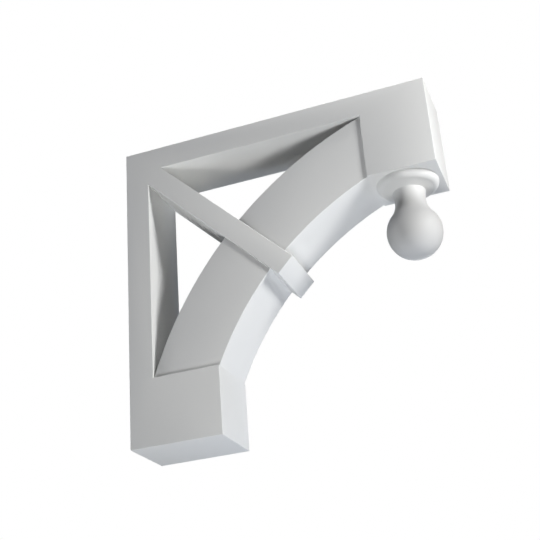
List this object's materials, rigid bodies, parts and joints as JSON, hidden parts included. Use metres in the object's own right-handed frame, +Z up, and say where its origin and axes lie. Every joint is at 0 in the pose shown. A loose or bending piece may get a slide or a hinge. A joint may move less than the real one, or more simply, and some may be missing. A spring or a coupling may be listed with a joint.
{
  "type": "decorative bracket",
  "caption": "Decorative gable bracket with curved brace, diagonal strut and ball drop, for an eave or a shelf.",
  "frame": {"origin": "middle of the flat back face that goes against the wall", "axes": "+X points away from the wall, +Y across the width, +Z up"},
  "size_m": [0.61, 0.127, 0.606],
  "materials": {
    "body_primer": "white primed moulded polyurethane, even and softly satin",
    "drop_primer": "white primed moulded polyurethane, a little smoother than the body"
  },
  "bodies": {
    "root": {"bracket_body": "body_primer", "ball_drop": "drop_primer"}
  },
  "joints": []
}
